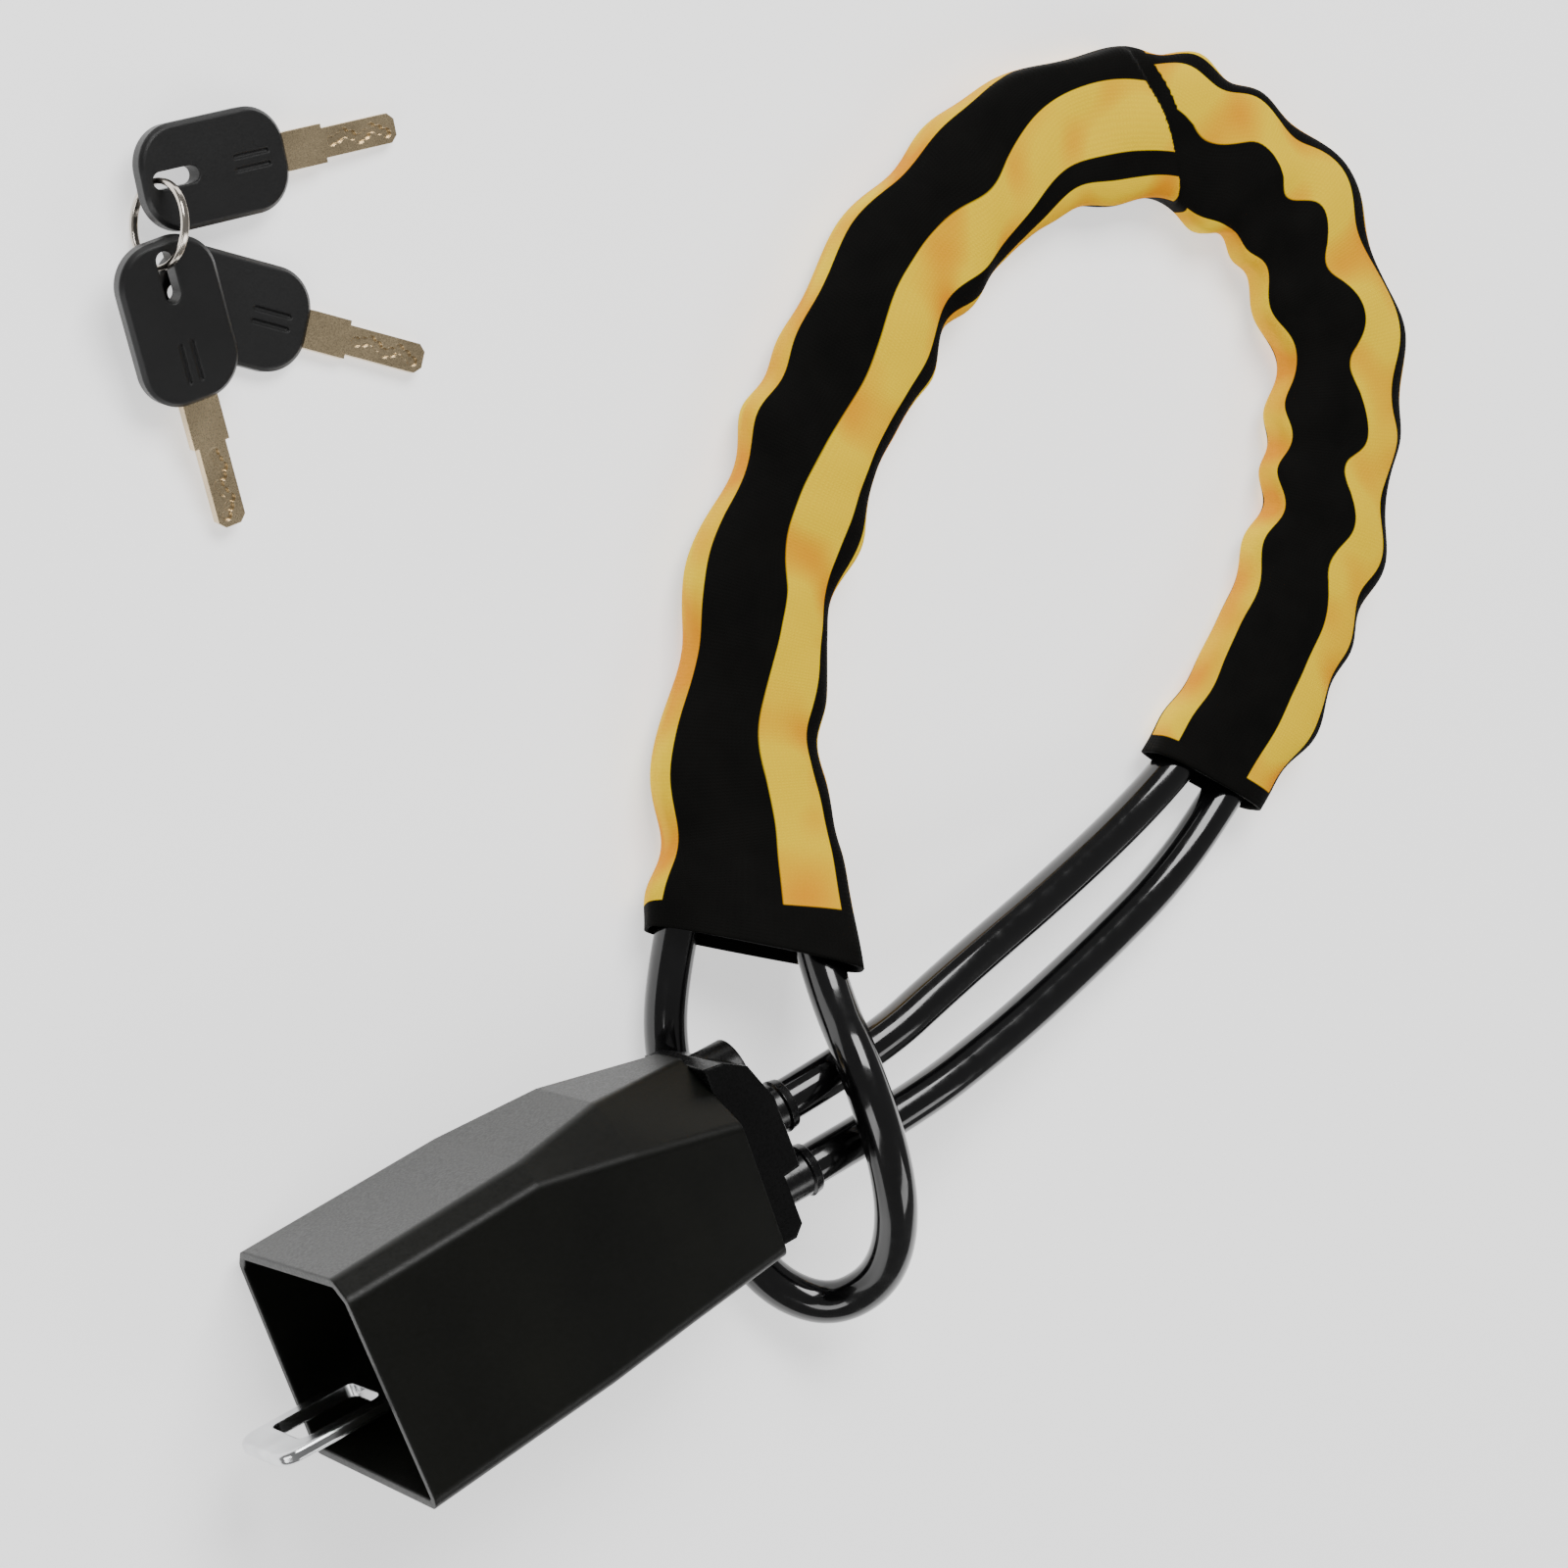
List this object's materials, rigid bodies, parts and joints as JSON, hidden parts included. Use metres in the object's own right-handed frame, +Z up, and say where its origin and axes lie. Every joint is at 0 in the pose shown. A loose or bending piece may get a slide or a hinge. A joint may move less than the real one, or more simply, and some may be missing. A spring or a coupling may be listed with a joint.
{
  "type": "steering wheel and seat belt cable lock",
  "caption": "Car anti-theft lock: steel housing with a seat-belt tongue and key cylinder, a doubled steel cable in a striped fabric sleeve, and keys on a ring.",
  "frame": {"origin": "on the face that the housing rests on, below the inside end of the lock block, at table height", "axes": "+X from the housing's mouth towards its cable end, +Y across the housing towards the cable ring, +Z up from the table"},
  "size_m": [0.3771, 0.3113, 0.0607],
  "materials": {
    "powder_coat": "fine satin powder coat",
    "zinc_casting": "cast",
    "tongue_plate": "polished",
    "rivet_steel": "turned",
    "cap_coat": "satin",
    "screw_steel": "blackened",
    "bushing_plastic": "moulded",
    "rope_steel": "stranded",
    "jacket_pvc": "glossy",
    "ferrule_steel": "swaged",
    "cylinder_plate": "satin plated",
    "plug_brass": "machined",
    "pad_rubber": "matt",
    "sleeve_fabric": "woven nylon, black with yellow stripes",
    "ring_nickel": "nickel plated",
    "key_plastic": "matt moulded",
    "key_metal": "nickel silver"
  },
  "bodies": {
    "lock": {"housing_shell": "powder_coat", "lock_block": "zinc_casting", "rear_cap": "cap_coat", "cap_screws": "screw_steel", "shell_screws": "screw_steel", "tongue": "tongue_plate", "tongue_rivets": "rivet_steel", "exit_bushings": "bushing_plastic", "cable_core": "rope_steel", "cable_jacket": "jacket_pvc", "cable_ferrules": "ferrule_steel", "anchor_pins": "screw_steel", "cylinder_body": "cylinder_plate", "sleeve": "sleeve_fabric"},
    "lock_plug": {"plug": "plug_brass", "plug_clip": "screw_steel", "barrel_cam": "rivet_steel", "cam_screw": "screw_steel"},
    "wafer_stack": {"wafers": "plug_brass"},
    "release_pusher": {"pusher": "rivet_steel", "pusher_pin": "rivet_steel", "pusher_pad": "pad_rubber"},
    "ring": {"key_ring": "ring_nickel"},
    "key_a": {"key_blade_1": "key_metal", "key_head_1": "key_plastic"},
    "key_b": {"key_blade_2": "key_metal", "key_head_2": "key_plastic"},
    "key_c": {"key_blade_3": "key_metal", "key_head_3": "key_plastic"}
  },
  "joints": [
    {"name": "plug_turn", "type": "hinge", "parent": "lock", "child": "lock_plug", "pos_m": [0.0562, 0.0215, 0.0265], "axis": [1, 0, 0], "range_deg": [0, 90]},
    {"name": "wafer_lift", "type": "slide", "parent": "lock_plug", "child": "wafer_stack", "axis": [0, 0, 1], "range_m": [0, 0.0005]},
    {"name": "pusher_slide", "type": "slide", "parent": "lock", "child": "release_pusher", "axis": [-1, 0, 0], "range_m": [0, 0.008]},
    {"name": "ring_lift", "type": "slide", "parent": "lock", "child": "ring", "axis": [0, 0, 1], "range_m": [0, 0.06]},
    {"name": "key_a_swing", "type": "hinge", "parent": "ring", "child": "key_a", "pos_m": [0.0118, 0.2517, 0.0084], "axis": [0, 0, 1], "range_deg": [0, 35]},
    {"name": "key_c_swing", "type": "hinge", "parent": "ring", "child": "key_c", "pos_m": [0.0047, 0.235, 0.0114], "axis": [0, 0, 1], "range_deg": [-35, 0]},
    {"name": "key_b_slide", "type": "slide", "parent": "lock", "child": "key_b", "axis": [0.807, -0.5906, 0], "range_m": [0, 0.04]}
  ],
  "couplings": [
    {"joint": "plug_turn", "follows": "pusher_slide", "rad_per_m": 196.35}
  ]
}
